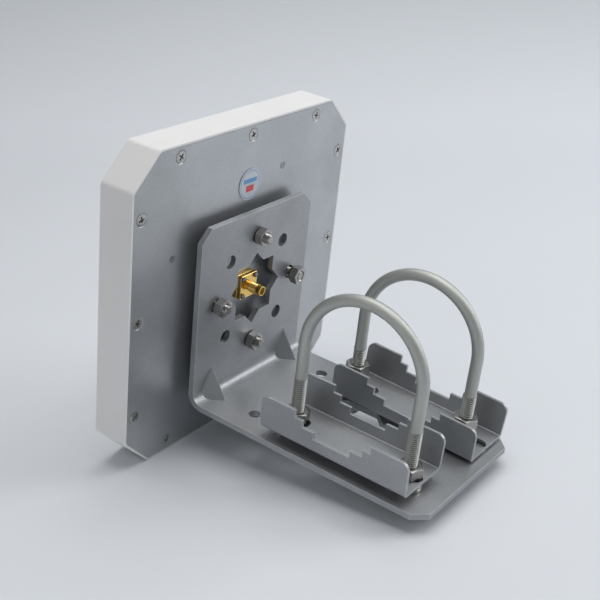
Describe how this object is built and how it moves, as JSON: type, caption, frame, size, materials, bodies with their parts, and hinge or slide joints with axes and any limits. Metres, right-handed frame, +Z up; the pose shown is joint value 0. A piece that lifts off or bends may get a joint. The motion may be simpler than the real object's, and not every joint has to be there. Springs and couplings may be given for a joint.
{
  "type": "flat panel antenna with pole clamp",
  "caption": "Square flat-panel outdoor antenna on an angle bracket with U-bolt clamps and notched saddles for a pole.",
  "frame": {"origin": "centre of the bounding box's bottom face, on the surface the assembly rests on", "axes": "+Z up from the resting surface, +Y from the panel towards the end of the bracket arm, +X across the panel; the panel leans 7 degrees from vertical, its top towards +Y"},
  "size_m": [0.19, 0.1926, 0.1914],
  "materials": {
    "white_plastic": "fine-grained off-white moulded plastic",
    "black_rubber": "matt black sealing rubber",
    "brushed_aluminium": "satin brushed sheet",
    "board_laminate": "woven glass and resin board",
    "copper_foil": "etched copper foil",
    "bright_steel": "turned stainless steel",
    "label_film": "printed white film",
    "gold_plate": "gold-plated brass",
    "ptfe": "waxy white insulator",
    "grey_coat": "satin grey coated sheet",
    "dark_steel": "dark oxide spring steel",
    "zinc_steel": "dull zinc-plated rod"
  },
  "bodies": {
    "panel": {"radome_cover": "white_plastic", "seal_gasket": "black_rubber", "back_plate": "brushed_aluminium", "cover_screw_01": "bright_steel", "cover_screw_02": "bright_steel", "cover_screw_03": "bright_steel", "cover_screw_04": "bright_steel", "cover_screw_05": "bright_steel", "cover_screw_06": "bright_steel", "cover_screw_07": "bright_steel", "cover_screw_08": "bright_steel", "cover_screw_09": "bright_steel", "cover_screw_10": "bright_steel", "cover_screw_11": "bright_steel", "cover_screw_12": "bright_steel", "round_label": "label_film", "array_board": "board_laminate", "patch_array": "copper_foil", "board_spacer_1": "brushed_aluminium", "board_spacer_2": "brushed_aluminium", "board_spacer_3": "brushed_aluminium", "board_spacer_4": "brushed_aluminium", "connector_body": "gold_plate", "connector_insulator": "ptfe", "connector_contact": "gold_plate", "connector_screw_1": "bright_steel", "connector_screw_2": "bright_steel", "connector_screw_3": "bright_steel", "connector_screw_4": "bright_steel", "angle_bracket": "grey_coat", "stud_top": "bright_steel", "stud_left": "bright_steel", "stud_bottom": "bright_steel", "stud_right": "bright_steel", "spacer_front_near": "bright_steel", "spacer_front_far": "bright_steel", "spacer_rear_near": "bright_steel", "spacer_rear_far": "bright_steel"},
    "washer_top": {"lock_washer_top": "dark_steel"},
    "nut_top": {"stud_nut_top": "bright_steel"},
    "washer_left": {"lock_washer_left": "dark_steel"},
    "nut_left": {"stud_nut_left": "bright_steel"},
    "washer_bottom": {"lock_washer_bottom": "dark_steel"},
    "nut_bottom": {"stud_nut_bottom": "bright_steel"},
    "washer_right": {"lock_washer_right": "dark_steel"},
    "nut_right": {"stud_nut_right": "bright_steel"},
    "u_bolt_front": {"u_bolt_front": "zinc_steel"},
    "saddle_front": {"saddle_front": "grey_coat"},
    "upper_nut_front_near": {"upper_nut_front_near": "bright_steel"},
    "lower_nut_front_near": {"lower_nut_front_near": "bright_steel"},
    "upper_nut_front_far": {"upper_nut_front_far": "bright_steel"},
    "lower_nut_front_far": {"lower_nut_front_far": "bright_steel"},
    "u_bolt_rear": {"u_bolt_rear": "zinc_steel"},
    "saddle_rear": {"saddle_rear": "grey_coat"},
    "upper_nut_rear_near": {"upper_nut_rear_near": "bright_steel"},
    "lower_nut_rear_near": {"lower_nut_rear_near": "bright_steel"},
    "jam_nut_rear_near": {"jam_nut_rear_near": "bright_steel"},
    "upper_nut_rear_far": {"upper_nut_rear_far": "bright_steel"},
    "lower_nut_rear_far": {"lower_nut_rear_far": "bright_steel"},
    "jam_nut_rear_far": {"jam_nut_rear_far": "bright_steel"}
  },
  "joints": [
    {"name": "washer_top_slide", "type": "slide", "parent": "panel", "child": "washer_top", "axis": [0, 0.9925, -0.1219], "range_m": [0, 0.007]},
    {"name": "nut_top_turn", "type": "hinge", "parent": "washer_top", "child": "nut_top", "pos_m": [0, -0.0484, 0.12276], "axis": [0, 0.9925, -0.1219], "range_deg": [0, 2521]},
    {"name": "washer_left_slide", "type": "slide", "parent": "panel", "child": "washer_left", "axis": [0, 0.9925, -0.1219], "range_m": [-0.0009, 0.006]},
    {"name": "nut_left_turn", "type": "hinge", "parent": "washer_left", "child": "nut_left", "pos_m": [0.0341, -0.05255, 0.08892], "axis": [0, 0.9925, -0.1219], "range_deg": [-325, 2161]},
    {"name": "washer_bottom_slide", "type": "slide", "parent": "panel", "child": "washer_bottom", "axis": [0, 0.9925, -0.1219], "range_m": [0, 0.007]},
    {"name": "nut_bottom_turn", "type": "hinge", "parent": "washer_bottom", "child": "nut_bottom", "pos_m": [0, -0.05671, 0.05507], "axis": [0, 0.9925, -0.1219], "range_deg": [0, 2521]},
    {"name": "washer_right_slide", "type": "slide", "parent": "panel", "child": "washer_right", "axis": [0, 0.9925, -0.1219], "range_m": [-0.0029, 0.004]},
    {"name": "nut_right_turn", "type": "hinge", "parent": "washer_right", "child": "nut_right", "pos_m": [-0.0341, -0.05255, 0.08892], "axis": [0, 0.9925, -0.1219], "range_deg": [-1045, 1441]},
    {"name": "u_bolt_front_slide", "type": "slide", "parent": "panel", "child": "u_bolt_front", "axis": [0, 0.1219, 0.9925], "range_m": [-0.024, 0.001]},
    {"name": "saddle_front_slide", "type": "slide", "parent": "panel", "child": "saddle_front", "axis": [0, 0.9925, -0.1219], "range_m": [-0.004, 0.006]},
    {"name": "upper_nut_front_near_turn", "type": "hinge", "parent": "panel", "child": "upper_nut_front_near", "pos_m": [0.03, -0.00019, 0.02224], "axis": [0, 0.1219, 0.9925], "range_deg": [-289, 6913]},
    {"name": "lower_nut_front_near_turn", "type": "hinge", "parent": "panel", "child": "lower_nut_front_near", "pos_m": [0.03, -0.00019, 0.02224], "axis": [0, 0.1219, 0.9925], "range_deg": [-289, 6913]},
    {"name": "upper_nut_front_far_turn", "type": "hinge", "parent": "panel", "child": "upper_nut_front_far", "pos_m": [0.03, 0.07425, 0.0131], "axis": [0, 0.1219, 0.9925], "range_deg": [-289, 6913]},
    {"name": "lower_nut_front_far_turn", "type": "hinge", "parent": "panel", "child": "lower_nut_front_far", "pos_m": [0.03, 0.07425, 0.0131], "axis": [0, 0.1219, 0.9925], "range_deg": [-289, 6913]},
    {"name": "u_bolt_rear_slide", "type": "slide", "parent": "panel", "child": "u_bolt_rear", "axis": [0, 0.1219, 0.9925], "range_m": [-0.024, 0.001]},
    {"name": "saddle_rear_slide", "type": "slide", "parent": "panel", "child": "saddle_rear", "axis": [0, 0.9871, -0.1599], "range_m": [-0.01, 0.0003]},
    {"name": "upper_nut_rear_near_turn", "type": "hinge", "parent": "panel", "child": "upper_nut_rear_near", "pos_m": [-0.03, -0.00019, 0.02224], "axis": [0, 0.1219, 0.9925], "range_deg": [-289, 6913]},
    {"name": "lower_nut_rear_near_turn", "type": "hinge", "parent": "panel", "child": "lower_nut_rear_near", "pos_m": [-0.03, -0.00019, 0.02224], "axis": [0, 0.1219, 0.9925], "range_deg": [-289, 6913]},
    {"name": "jam_nut_rear_near_turn", "type": "hinge", "parent": "panel", "child": "jam_nut_rear_near", "pos_m": [-0.03, -0.00019, 0.02224], "axis": [0, 0.1219, 0.9925], "range_deg": [-289, 6913]},
    {"name": "upper_nut_rear_far_turn", "type": "hinge", "parent": "panel", "child": "upper_nut_rear_far", "pos_m": [-0.03, 0.07425, 0.0131], "axis": [0, 0.1219, 0.9925], "range_deg": [-289, 6913]},
    {"name": "lower_nut_rear_far_turn", "type": "hinge", "parent": "panel", "child": "lower_nut_rear_far", "pos_m": [-0.03, 0.07425, 0.0131], "axis": [0, 0.1219, 0.9925], "range_deg": [-289, 6913]},
    {"name": "jam_nut_rear_far_turn", "type": "hinge", "parent": "panel", "child": "jam_nut_rear_far", "pos_m": [-0.03, 0.07425, 0.0131], "axis": [0, 0.1219, 0.9925], "range_deg": [-289, 6913]}
  ],
  "couplings": [
    {"joint": "nut_top_turn", "follows": "washer_top_slide", "rad_per_m": 6283.2},
    {"joint": "nut_left_turn", "follows": "washer_left_slide", "rad_per_m": 6283.2},
    {"joint": "nut_bottom_turn", "follows": "washer_bottom_slide", "rad_per_m": 6283.2},
    {"joint": "nut_right_turn", "follows": "washer_right_slide", "rad_per_m": 6283.2},
    {"joint": "upper_nut_front_near_turn", "follows": "u_bolt_front_slide", "rad_per_m": -5026.5},
    {"joint": "lower_nut_front_near_turn", "follows": "u_bolt_front_slide", "rad_per_m": -5026.5},
    {"joint": "upper_nut_front_far_turn", "follows": "u_bolt_front_slide", "rad_per_m": -5026.5},
    {"joint": "lower_nut_front_far_turn", "follows": "u_bolt_front_slide", "rad_per_m": -5026.5},
    {"joint": "upper_nut_rear_near_turn", "follows": "u_bolt_rear_slide", "rad_per_m": -5026.5},
    {"joint": "lower_nut_rear_near_turn", "follows": "u_bolt_rear_slide", "rad_per_m": -5026.5},
    {"joint": "jam_nut_rear_near_turn", "follows": "u_bolt_rear_slide", "rad_per_m": -5026.5},
    {"joint": "upper_nut_rear_far_turn", "follows": "u_bolt_rear_slide", "rad_per_m": -5026.5},
    {"joint": "lower_nut_rear_far_turn", "follows": "u_bolt_rear_slide", "rad_per_m": -5026.5},
    {"joint": "jam_nut_rear_far_turn", "follows": "u_bolt_rear_slide", "rad_per_m": -5026.5}
  ]
}
